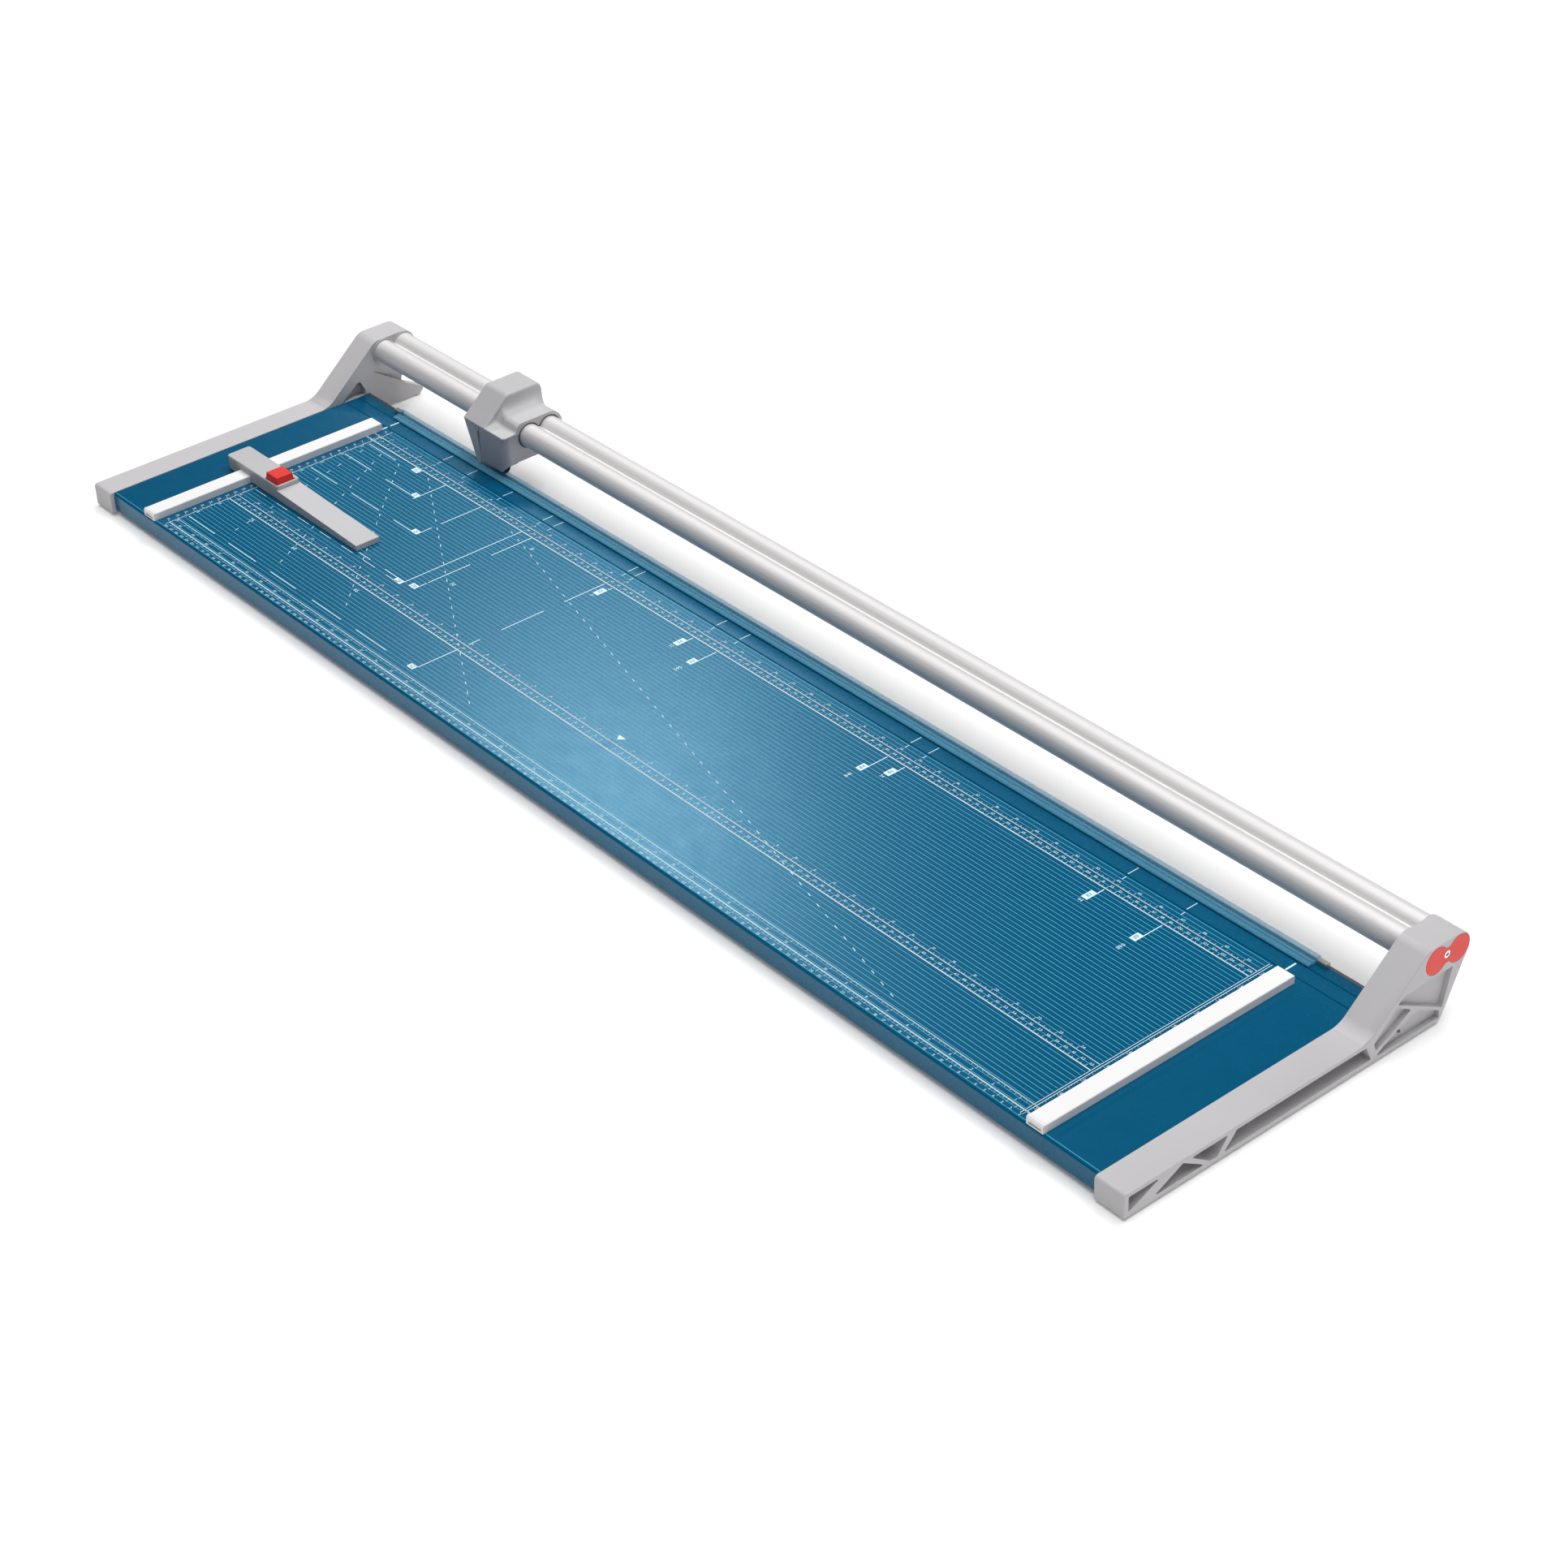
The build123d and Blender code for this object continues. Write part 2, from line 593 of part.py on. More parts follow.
def sweep_steps():
    """Positions down the hump's right side, each with its share of the drop to the collar."""
    drop = HUMP_TOP - COLLAR_TOP
    steps = []
    for degrees in range(0, 91, 15):
        angle = radians(degrees)
        steps.append((HUMP_RIGHT - CREST_R * (1 - sin(angle)), CREST_R * (1 - cos(angle)) / drop))
    for degrees in range(0, 91, 15):
        angle = radians(degrees)
        steps.append((HUMP_RIGHT + 0.3 + SWEEP_R * (1 - cos(angle)), 1 - SWEEP_R * (1 - sin(angle)) / drop))
    return steps


def housing_outline(share):
    """Outline across the housing: at the hump for a share of 0, at the collar for 1."""
    def between(hump, collar):
        return hump + share * (collar - hump)

    points = from_edge(
        (HEAD_FRONT, HEAD_SPLIT_Z),
        (HEAD_FRONT, HEAD_SPLIT_Z + 1.5),
        (between(3, 7), between(60.3, 50)),
        (between(22.7, 11.5), between(HUMP_TOP, COLLAR_TOP - 0.1)),
        (HEAD_BACK, between(HUMP_TOP, COLLAR_TOP)),
        (HEAD_BACK, HEAD_BOTTOM),
        (HEAD_LEG, HEAD_BOTTOM),
        (HEAD_LEG, HEAD_SPLIT_Z),
    )
    return outline(points, [0, 0.6, between(6, 4.5), between(8, 7), between(6, 15), 14, 9, 0])


def front_corner(radius):
    """What lies outside the head's rounded front right corner, seen from above."""
    reach = radius + 1
    return outline([
        (HEAD_RIGHT - reach, front_y),
        (HEAD_RIGHT, front_y),
        (HEAD_RIGHT, front_y + reach),
        (HEAD_RIGHT + 1, front_y + reach),
        (HEAD_RIGHT + 1, front_y - 1),
        (HEAD_RIGHT - reach, front_y - 1),
    ], [0, radius, 0, 0, 0, 0])


with BuildPart() as head_housing:
    steps = sweep_steps()
    with BuildSketch(section(HEAD_LEFT)):
        add(housing_outline(0))
    extrude(amount=steps[0][0] - HEAD_LEFT)
    left_face = head_housing.faces().sort_by(Axis.X)[0]
    fillet(left_face.edges().filter_by(lambda e: e.center().Z > split_z + 1), 2)
    # the hump's right side sweeps down into the collar and a shelf in front of it
    for x, share in steps:
        with BuildSketch(section(x)):
            add(housing_outline(share))
    loft(ruled=True)
    with BuildSketch(section(steps[-1][0])):
        add(housing_outline(1))
    extrude(amount=HEAD_RIGHT - steps[-1][0])
    with BuildSketch(Plane.XY.offset(split_z)):
        add(front_corner(HEAD_CORNER_R))
    extrude(amount=COLLAR_TOP, mode=Mode.SUBTRACT)
    # seat for the cover's right wall, and the bores
    block((HEAD_RIGHT - COVER_WALL - 0.1, HEAD_RIGHT), (CUT_Y, CUT_Y + 45), (bottom_z, split_z),
          Mode.SUBTRACT)
    with BuildSketch(section(HEAD_LEFT, RAIL_Y, RAIL_Z)):
        twin_circles(BORE_R, BORE_WEB)
    extrude(amount=HEAD_RIGHT - HEAD_LEFT, mode=Mode.SUBTRACT)
    for dx in CARRIER_SCREWS:
        rod_z(BLADE_X + dx, CUT_Y - 1, (split_z, split_z + 6), 1.6, Mode.SUBTRACT)
    for dx in HOUSING_SCREWS:
        rod_z(BLADE_X + dx, RAIL_Y, (bottom_z, bottom_z + 8.5), 1.6, Mode.SUBTRACT)
save(head_housing, "head_housing")

with BuildPart() as blade_cover:
    inside = HEAD_RIGHT - COVER_WALL
    cover_bottom_z = TABLE_TOP + COVER_BOTTOM
    leg_y = CUT_Y + HEAD_LEG - 0.1
    # shell around the blade, set back at its left end behind the presser finger
    block((COVER_LEFT, HEAD_RIGHT), (CUT_Y - 5.5, leg_y), (cover_bottom_z, split_z))
    block((COVER_LEFT + 9, HEAD_RIGHT), (front_y, CUT_Y - 5.5), (cover_bottom_z, split_z))
    with BuildSketch(Plane.XY.offset(TABLE_TOP)):
        add(front_corner(COVER_CORNER_R))
    extrude(amount=HEAD_SPLIT_Z, mode=Mode.SUBTRACT)
    # bottom edge rises towards the right end
    with BuildSketch(elevation(CUT_Y + 10)):
        add(outline([
            (HEAD_RIGHT - 7, TABLE_TOP),
            (HEAD_RIGHT - 7, cover_bottom_z),
            (HEAD_RIGHT, TABLE_TOP + COVER_BACK_BOTTOM),
            (HEAD_RIGHT + 1, TABLE_TOP),
        ]))
    extrude(amount=25, mode=Mode.SUBTRACT)
    # rear block under the housing, and the right wall beside the rail
    block((COVER_LEFT, HEAD_RIGHT), (leg_y, CUT_Y + COVER_BACK), (TABLE_TOP + COVER_BACK_BOTTOM, bottom_z))
    block((inside, HEAD_RIGHT), (leg_y, CUT_Y + COVER_BACK), (bottom_z, split_z))
    # hollow for the blade
    block((COVER_LEFT + COVER_WALL, inside), (CUT_Y - 3.5, CUT_Y + 13), (TABLE_TOP, split_z), Mode.SUBTRACT)
    with BuildSketch(Plane.XY.offset(TABLE_TOP)):
        add(outline([
            (COVER_LEFT + 11, CUT_Y - 3.5),
            (COVER_LEFT + 11, front_y + COVER_WALL),
            (inside, front_y + COVER_WALL),
            (inside, CUT_Y + 3),
            (COVER_LEFT + 11, CUT_Y + 3),
        ], [0, 0, COVER_CORNER_R - COVER_WALL, 0, 0]))
    extrude(amount=HEAD_SPLIT_Z, mode=Mode.SUBTRACT)
    with BuildSketch(section(inside, RAIL_Y, RAIL_Z)):
        twin_circles(BORE_R, BORE_WEB)
    extrude(amount=COVER_WALL, mode=Mode.SUBTRACT)
    for dx in HOUSING_SCREWS:
        rod_z(BLADE_X + dx, RAIL_Y, (TABLE_TOP, bottom_z), 1.7, Mode.SUBTRACT)
        rod_z(BLADE_X + dx, RAIL_Y, (TABLE_TOP, bottom_z - 6), 3.3, Mode.SUBTRACT)
save(blade_cover, "blade_cover")

with BuildPart() as presser_finger:
    with BuildSketch(elevation(CUT_Y - 7)):
        add(outline([
            (HEAD_LEFT, split_z),
            (HEAD_LEFT + 20.5, split_z),
            (HEAD_LEFT + 20.5, split_z - 7),
            (HEAD_LEFT + 26, TABLE_TOP + 12),
            (HEAD_LEFT + 22.8, TABLE_TOP + 3.1),
            (HEAD_LEFT + 18.5, TABLE_TOP + 3.1),
        ], [0, 0, 0, 4, 1, 1]))
    extrude(amount=FINGER_THICK)
save(presser_finger, "presser_finger")

for name, start in (("left", HEAD_LEFT), ("right", HEAD_RIGHT - BUSH_LENGTH)):
    with BuildPart() as bush:
        with BuildSketch(section(start, RAIL_Y, RAIL_Z)):
            twin_circles(BORE_R - 0.05, BORE_WEB - 0.05)
            with Locations((-LOBE, 0), (LOBE, 0)):
                Circle(TUBE_R + 0.05, mode=Mode.SUBTRACT)
            Rectangle(2 * LOBE, 2 * WEB + 0.1, mode=Mode.SUBTRACT)
        extrude(amount=BUSH_LENGTH)
    save(bush, f"glide_bush_{name}")

with BuildPart() as blade_carrier:
    block((BLADE_X - 9, BLADE_X + 9), (CUT_Y + 4.4, CUT_Y + 7.3), (TABLE_TOP + 13, split_z - 2))
    block((BLADE_X - 22, BLADE_X + 18), (CUT_Y - 3.3, CUT_Y + 7.3), (split_z - 2, split_z))
    rod_y(BLADE_X, (CUT_Y + 4, CUT_Y + 8), axis_z, 2.55, Mode.SUBTRACT)
    for dx in CARRIER_SCREWS:
        rod_z(BLADE_X + dx, CUT_Y - 1, (split_z - 2, split_z), 1.7, Mode.SUBTRACT)
save(blade_carrier, "blade_carrier")

with BuildPart() as head_screws:
    for dx in CARRIER_SCREWS:
        rod_z(BLADE_X + dx, CUT_Y - 1, (split_z - 4, split_z - 2), 2.4)
        rod_z(BLADE_X + dx, CUT_Y - 1, (split_z - 2, split_z + 5.5), 1.5)
    for dx in HOUSING_SCREWS:
        rod_z(BLADE_X + dx, RAIL_Y, (bottom_z - 8.5, bottom_z - 6), 3)
        rod_z(BLADE_X + dx, RAIL_Y, (bottom_z - 6, bottom_z + 8), 1.5)
save(head_screws, "head_screws")

blade_front = CUT_Y + BLADE_GAP
blade_back = blade_front + BLADE_THICK

with BuildPart() as rotary_blade:
    rod_y(BLADE_X, (blade_front, blade_back), axis_z, BLADE_R)
    chamfer(rotary_blade.faces().sort_by(Axis.Y)[-1].edges(), length=0.9, length2=1.8)
    rod_y(BLADE_X, (blade_front, blade_back), axis_z, HUB_R + 0.02, Mode.SUBTRACT)
save(rotary_blade, "rotary_blade")

with BuildPart() as blade_hub:
    rod_y(BLADE_X, (blade_front - 1.2, blade_back), axis_z, HUB_R)
    rod_y(BLADE_X, (blade_back, CUT_Y + 3), axis_z, HUB_FLANGE_R)
    rod_y(BLADE_X, (blade_front - 1.2, CUT_Y + 3), axis_z, AXLE_R + 0.05, Mode.SUBTRACT)
save(blade_hub, "blade_hub")

with BuildPart() as blade_clamp_ring:
    rod_y(BLADE_X, (blade_front - 1.2, blade_front), axis_z, HUB_FLANGE_R - 0.5)
    rod_y(BLADE_X, (blade_front - 1.2, blade_front), axis_z, HUB_R + 0.02, Mode.SUBTRACT)
save(blade_clamp_ring, "blade_clamp_ring")

with BuildPart() as blade_axle:
    rod_y(BLADE_X, (CUT_Y - 3.2, CUT_Y - 1.5), axis_z, 5)
    rod_y(BLADE_X, (CUT_Y - 1.5, CUT_Y + 4.4), axis_z, AXLE_R)
    rod_y(BLADE_X, (CUT_Y + 4.4, CUT_Y + 11), axis_z, 2.5)
save(blade_axle, "blade_axle")

with BuildPart() as axle_nut:
    with BuildSketch(Plane(origin=(BLADE_X, CUT_Y + 10.5, axis_z), x_dir=(1, 0, 0), z_dir=(0, -1, 0))):
        RegularPolygon(4.6, 6)
        Circle(2.52, mode=Mode.SUBTRACT)
    extrude(amount=3.1)
save(axle_nut, "axle_nut")

with BuildPart() as blade_spring:
    with BuildSketch(Plane(origin=(BLADE_X, CUT_Y + 4.35, axis_z), x_dir=(1, 0, 0), z_dir=(0, -1, 0))):
        Circle(5.4)
        Circle(3.6, mode=Mode.SUBTRACT)
    extrude(amount=1.2)
save(blade_spring, "blade_spring")


# ---- Back stop ----

bar_left = -(STOP_IN + STOP_WIDTH)
bar_right = -STOP_IN
bar_top = TABLE_TOP + STOP_HEIGHT
link_z = (bar_top + 1, bar_top + 3.6)
link_right = BUTTON_X - 7
stem_left = link_right + 0.1
stem_slope = SHOE_TRAVEL / BUTTON_TRAVEL
shoe_back = bar_left - SHOE_LENGTH
pocket_back = shoe_back - SHOE_SPRING
well_half = (BUTTON_HALF[0] + BACKSTOP_GAP, BUTTON_HALF[1] + BACKSTOP_GAP)
cap_bottom = BLOCK_TOP - 2
cap_top = BLOCK_TOP + BUTTON_HEIGHT
well_floor = link_z[1] + 0.3
stem_channel = (link_right - 1.5, link_right + STEM_WIDTH + 3)


def around_stop(half):
    """Y limits of something centred on the back stop."""
    return (BACKSTOP_Y - half, BACKSTOP_Y + half)


with BuildPart() as whole_backstop:
    block((BACKSTOP_LEFT, BLOCK_RIGHT), around_stop(BACKSTOP_HALF), (TABLE_TOP + 1, BLOCK_TOP))
    fillet(whole_backstop.edges().filter_by(Axis.Z), 3)
    chamfer(whole_backstop.faces().sort_by(Axis.Z)[-1].edges(), 0.7)
    # tongue, getting thinner towards its tip
    with BuildSketch(elevation(BACKSTOP_Y + BACKSTOP_HALF)):
        add(outline([
            (BLOCK_RIGHT - 6, TABLE_TOP + 1),
            (BLOCK_RIGHT - 6, SEAM_Z),
            (BLOCK_RIGHT, SEAM_Z),
            (TONGUE_END, TIP_TOP),
            (TONGUE_END, TABLE_TOP + 0.5),
            (BLOCK_RIGHT, TABLE_TOP + 0.5),
            (BLOCK_RIGHT, TABLE_TOP + 1),
        ], [0, 0, 0, 0.8, 0, 0, 0]))
    extrude(amount=2 * BACKSTOP_HALF)
    block((bar_left - BACKSTOP_GAP, bar_right + BACKSTOP_GAP), around_stop(BACKSTOP_HALF + 1),
          (TABLE_TOP, bar_top + BACKSTOP_GAP), Mode.SUBTRACT)
    # pocket for the brake shoe and its spring, channel for the brake slide
    block((pocket_back, bar_left), around_stop(SHOE_HALF + 0.3), (TABLE_TOP + 2.2, bar_top + 1.3),
          Mode.SUBTRACT)
    block((pocket_back, stem_channel[1]), around_stop(CHANNEL_HALF), (bar_top, well_floor),
          Mode.SUBTRACT)
    # well for the button and its stem
    with Locations((BUTTON_X, BUTTON_Y, (well_floor + BLOCK_TOP) / 2)):
        Box(2 * well_half[0], 2 * well_half[1], BLOCK_TOP - well_floor, mode=Mode.SUBTRACT)
    block(stem_channel, around_stop(CHANNEL_HALF), (TABLE_TOP + 3, well_floor), Mode.SUBTRACT)

with BuildPart() as backstop_body:
    add(whole_backstop.part)
    split(bisect_by=Plane.XY.offset(SEAM_Z), keep=Keep.BOTTOM)
save(backstop_body, "backstop_body")

with BuildPart() as backstop_cover:
    add(whole_backstop.part)
    split(bisect_by=Plane.XY.offset(SEAM_Z), keep=Keep.TOP)
    chamfer(backstop_cover.faces().sort_by(Axis.Z)[0].outer_wire().edges(), 0.4)
save(backstop_cover, "backstop_cover")

with BuildPart() as brake_slide:
    block((shoe_back, bar_left - 0.05), around_stop(SHOE_HALF), (TABLE_TOP + 2.5, bar_top + 1))
    with BuildSketch(elevation(BACKSTOP_Y + SLIDE_HALF)):
        add(outline([
            (shoe_back, link_z[0]),
            (link_right + 2.6 * stem_slope, link_z[0]),
            (link_right, link_z[1]),
            (shoe_back, link_z[1]),
        ]))
    extrude(amount=2 * SLIDE_HALF)
save(brake_slide, "brake_slide")

with BuildPart() as shoe_spring:
    for dy in (-5, 5):
        rod_x((pocket_back, shoe_back), BACKSTOP_Y + dy, TABLE_TOP + 5.5, SHOE_SPRING_R)
        rod_x((pocket_back, shoe_back), BACKSTOP_Y + dy, TABLE_TOP + 5.5, SHOE_SPRING_R - 0.6, Mode.SUBTRACT)
save(shoe_spring, "shoe_spring")

with BuildPart() as release_button:
    with BuildSketch(Plane.XY.offset(cap_bottom)):
        with Locations((BUTTON_X, BUTTON_Y)):
            RectangleRounded(2 * BUTTON_HALF[0], 2 * BUTTON_HALF[1], 2)
    extrude(amount=cap_top - cap_bottom, taper=9)
    fillet(release_button.faces().sort_by(Axis.Z)[-1].edges(), 0.8)
    # stem with a sloping face that pushes the brake slide back
    stem_bottom = TABLE_TOP + 6
    with BuildSketch(elevation(BACKSTOP_Y + STEM_HALF)):
        add(outline([
            (stem_left - (cap_bottom - link_z[1]) * stem_slope, cap_bottom),
            (stem_left + (link_z[1] - stem_bottom) * stem_slope, stem_bottom),
            (stem_left + STEM_WIDTH, stem_bottom),
            (stem_left + STEM_WIDTH, cap_bottom),
        ]))
    extrude(amount=2 * STEM_HALF)
save(release_button, "release_button")

with BuildPart() as button_spring:
    with BuildSketch(Plane.XY.offset(well_floor)):
        with Locations((BUTTON_X, BUTTON_Y)):
            Rectangle(2 * BUTTON_HALF[0] - 3, 2 * BUTTON_HALF[1] - 3)
            Rectangle(2 * BUTTON_HALF[0] - 4.4, 2 * BUTTON_HALF[1] - 4.4, mode=Mode.SUBTRACT)
    extrude(amount=cap_bottom - well_floor)
save(button_spring, "button_spring")
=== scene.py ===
import json
import math

import bmesh
import bpy
from mathutils import Matrix, Vector


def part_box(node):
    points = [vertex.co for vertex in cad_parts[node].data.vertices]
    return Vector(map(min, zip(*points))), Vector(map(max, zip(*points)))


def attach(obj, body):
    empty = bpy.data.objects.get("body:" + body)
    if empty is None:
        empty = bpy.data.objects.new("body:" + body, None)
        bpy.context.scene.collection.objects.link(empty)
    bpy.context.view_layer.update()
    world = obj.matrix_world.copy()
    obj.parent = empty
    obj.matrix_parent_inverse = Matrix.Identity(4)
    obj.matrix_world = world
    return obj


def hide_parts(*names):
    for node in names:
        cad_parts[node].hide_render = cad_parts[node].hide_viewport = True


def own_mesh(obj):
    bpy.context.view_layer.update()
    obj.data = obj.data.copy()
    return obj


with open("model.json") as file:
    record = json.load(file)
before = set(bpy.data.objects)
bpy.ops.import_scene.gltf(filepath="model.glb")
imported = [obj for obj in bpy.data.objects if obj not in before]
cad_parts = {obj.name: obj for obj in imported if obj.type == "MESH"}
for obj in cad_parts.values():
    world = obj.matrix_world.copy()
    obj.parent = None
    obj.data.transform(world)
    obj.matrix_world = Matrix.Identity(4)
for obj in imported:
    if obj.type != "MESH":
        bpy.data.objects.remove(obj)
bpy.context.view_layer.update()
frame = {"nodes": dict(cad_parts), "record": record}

MM = 0.001
NODES = frame["nodes"]


# ---------------------------------------------------------------- materials

class Shader:
    """A material's node tree, with short calls to add and join nodes."""

    def __init__(self, name):
        self.material = bpy.data.materials.new(name)
        self.material.use_nodes = True
        self.tree = self.material.node_tree
        self.bsdf = self.tree.nodes["Principled BSDF"]
        self.where = self.add("ShaderNodeTexCoord").outputs["Object"]

    def add(self, kind, **values):
        node = self.tree.nodes.new(kind)
        for key, value in values.items():
            setattr(node, key, value)
        return node

    def join(self, out, into):
        self.tree.links.new(out, into)

    def stretched(self, scale):
        """Object coordinates scaled separately along each axis."""
        node = self.add("ShaderNodeMapping")
        node.inputs["Scale"].default_value = scale
        self.join(self.where, node.inputs["Vector"])
        return node.outputs["Vector"]

    def noise(self, scale, detail=3.0, vector=None, roughness=0.5):
        node = self.add("ShaderNodeTexNoise")
        node.inputs["Scale"].default_value = scale
        node.inputs["Detail"].default_value = detail
        node.inputs["Roughness"].default_value = roughness
        self.join(vector or self.where, node.inputs["Vector"])
        return node.outputs["Fac"]

    def span(self, value, low, high, to_low, to_high):
        """value mapped from one span to another, clamped."""
        node = self.add("ShaderNodeMapRange")
        for key, number in zip(("From Min", "From Max", "To Min", "To Max"), (low, high, to_low, to_high)):
            node.inputs[key].default_value = number
        self.join(value, node.inputs["Value"])
        return node.outputs["Result"]

    def mix(self, factor, a, b):
        """Colour a where factor is 0, b where it is 1."""
        node = self.add("ShaderNodeMix", data_type="RGBA")
        self.join(factor, node.inputs["Factor"])
        for index, colour in ((6, a), (7, b)):
            if isinstance(colour, tuple):
                node.inputs[index].default_value = (*colour, 1)
            else:
                self.join(colour, node.inputs[index])
        return node.outputs[2]

    def bump(self, height, strength, distance):
        node = self.add("ShaderNodeBump")
        node.inputs["Strength"].default_value = strength
        node.inputs["Distance"].default_value = distance
        self.join(height, node.inputs["Height"])
        return node

    def edge_wear(self, low=0.505, high=0.56):
        """1 along convex edges, 0 elsewhere: the mask for a painted highlight on convex edges."""
        geometry = self.add("ShaderNodeNewGeometry")
        return self.span(geometry.outputs["Pointiness"], low, high, 0, 1)


def shaded(colour, factor):
    return tuple(c * factor for c in colour)


def moulded(name, colour, roughness=0.5, grain=900, depth=0.00004, specular=0.4):
    """Moulded plastic with a fine grain, faint blotches of tone and slightly paler edges, a painted
    highlight.
    """
    s = Shader(name)
    blotch = s.span(s.noise(9), 0.35, 0.65, 0, 1)
    tone = s.mix(blotch, shaded(colour, 0.965), shaded(colour, 1.03))
    # convex edges 12% paler: a painted highlight along the edges
    s.join(s.mix(s.edge_wear(), tone, shaded(colour, 1.12)), s.bsdf.inputs["Base Color"])
    s.join(s.span(s.noise(60, 4), 0.3, 0.7, roughness - 0.05, roughness + 0.06), s.bsdf.inputs["Roughness"])
    s.join(s.bump(s.noise(grain, 2), 0.5, depth).outputs["Normal"], s.bsdf.inputs["Normal"])
    s.bsdf.inputs["Specular IOR Level"].default_value = specular
    return s.material


def metal(name, colour, roughness, streak=(4, 900, 900), depth=0.00002, spread=0.08, metallic=1.0):
    """Ground or drawn metal, streaked along its length."""
    s = Shader(name)
    lines = s.noise(1, 5, s.stretched(streak), 0.6)
    s.join(s.mix(s.span(lines, 0.3, 0.7, 0, 1), shaded(colour, 0.93), shaded(colour, 1.05)),
           s.bsdf.inputs["Base Color"])
    s.join(s.span(lines, 0.3, 0.7, roughness - spread / 2, roughness + spread), s.bsdf.inputs["Roughness"])
    s.join(s.bump(lines, 0.35, depth).outputs["Normal"], s.bsdf.inputs["Normal"])
    s.bsdf.inputs["Metallic"].default_value = metallic
    return s.material


def coated(name, colour):
    """Powder-coated sheet: a satin skin with a fine orange peel."""
    s = Shader(name)
    cloud = s.span(s.noise(3.0, 2), 0.35, 0.65, 0, 1)
    s.join(s.mix(cloud, shaded(colour, 0.97), shaded(colour, 1.03)), s.bsdf.inputs["Base Color"])
    s.join(s.span(s.noise(60, 4), 0.3, 0.7, 0.26, 0.29), s.bsdf.inputs["Roughness"])
    s.bsdf.inputs["Specular Tint"].default_value = (0.0, 0.66, 1.0, 1)
    s.join(s.bump(s.noise(700, 3), 0.25, 0.00003).outputs["Normal"], s.bsdf.inputs["Normal"])
    s.bsdf.inputs["Specular IOR Level"].default_value = 0.5
    return s.material


def clear(name):
    """Clear extruded plastic: a smooth see-through skin with faint drawing lines along it."""
    s = Shader(name)
    lines = s.noise(1, 0, s.stretched((0.4, 120, 120)))
    s.join(s.mix(s.span(lines, 0.3, 0.7, 0, 1), (0.10, 0.37, 0.55), (0.14, 0.43, 0.62)),
           s.bsdf.inputs["Base Color"])
    s.join(s.span(lines, 0.3, 0.7, 0.38, 0.42), s.bsdf.inputs["Alpha"])
    s.join(s.span(lines, 0.3, 0.7, 0.18, 0.22), s.bsdf.inputs["Roughness"])
    s.join(s.bump(lines, 0.1, 0.00002).outputs["Normal"], s.bsdf.inputs["Normal"])
    s.bsdf.inputs["IOR"].default_value = 1.49
    return s.material


def paint(name, colour, roughness=0.5):
    """Screen-printed ink with slight unevenness."""
    s = Shader(name)
    patch = s.span(s.noise(240, 3), 0.3, 0.7, 0, 1)
    s.join(s.mix(patch, shaded(colour, 0.93), colour), s.bsdf.inputs["Base Color"])
    s.bsdf.inputs["Roughness"].default_value = roughness
    return s.material


MATERIALS = {
    "table_blue": coated("table_blue", (0.0005, 0.078, 0.165)),
    "plain_steel": metal("plain_steel", (0.55, 0.56, 0.57), 0.38),
    "blade_steel": metal("blade_steel", (0.20, 0.22, 0.26), 0.30),
    "screw_steel": metal("screw_steel", (0.58, 0.58, 0.60), 0.32, (600, 600, 600)),
    "cheek_grey": moulded("cheek_grey", (0.455, 0.445, 0.455), 0.55),
    "foot_rubber": moulded("foot_rubber", (0.02, 0.02, 0.02), 0.8),
    "rail_aluminium": metal("rail_aluminium", (0.72, 0.705, 0.705), 0.58, (1.5, 1200, 1200), 0.00001,
                            metallic=0.45),
    "signal_red": moulded("signal_red", (0.70, 0.065, 0.055), 0.5, specular=0.3),
    "bright_screw": metal("bright_screw", (0.82, 0.82, 0.84), 0.2, (500, 500, 500)),
    "stop_white": moulded("stop_white", (0.72, 0.71, 0.71), 0.5),
    "clip_steel": metal("clip_steel", (0.66, 0.63, 0.56), 0.35),
    "spring_steel": metal("spring_steel", (0.45, 0.45, 0.46), 0.35),
    "clear_strip": clear("clear_strip"),
    "head_light": moulded("head_light", (0.45, 0.445, 0.455), 0.5),
    # head_dark is the head's grey plastic made darker and bluer: partly a slightly darker plastic, partly
    # painted shade under the head and a painted blue reflection of the table
    "head_dark": moulded("head_dark", (0.36, 0.35, 0.385), 0.45),
    "bush_black": moulded("bush_black", (0.03, 0.03, 0.035), 0.5),
    "backstop_grey": moulded("backstop_grey", (0.46, 0.455, 0.465), 0.55),
    "button_red": moulded("button_red", (0.64, 0.025, 0.022), 0.5, specular=0.3),
}

WELD_GAP = 0.000002
BEVEL_WIDTH = 0.0004
BEVEL_ANGLE = 40           # sharper corners than this are bevelled
BEVELLED = ("cheek_left", "cheek_right", "head_housing", "blade_cover", "backstop_body", "backstop_cover")


def soften(name):
    """Break a piece's sharp edges so that they catch the light, and shade its curves smoothly."""
    weld = NODES[name].modifiers.new("weld", "WELD")
    weld.merge_threshold = WELD_GAP
    bevel = NODES[name].modifiers.new("edge", "BEVEL")
    bevel.width = BEVEL_WIDTH
    bevel.segments = 2
    bevel.limit_method = "ANGLE"
    bevel.angle_limit = math.radians(BEVEL_ANGLE)
    bevel.use_clamp_overlap = True
    normals = NODES[name].modifiers.new("shading", "WEIGHTED_NORMAL")
    normals.weight = 50


for entry in frame["record"]["subparts"]:
    mesh = NODES[entry["node"]].data
    mesh.materials.clear()
    mesh.materials.append(MATERIALS[entry["material_slot"]])
for name in BEVELLED:
    soften(name)


# ---------------------------------------------------------------- copies of the springs

def yielding_spring(name, body):
    """A copy of a spring with a mesh of its own, attached to the body in place of the rigid one, which is
    hidden.
    """
    spring = NODES[name].copy()
    spring.data = NODES[name].data.copy()
    spring.name = name + "_yielding"
    bpy.context.scene.collection.objects.link(spring)
    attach(spring, body)
    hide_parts(name)
    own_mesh(spring)


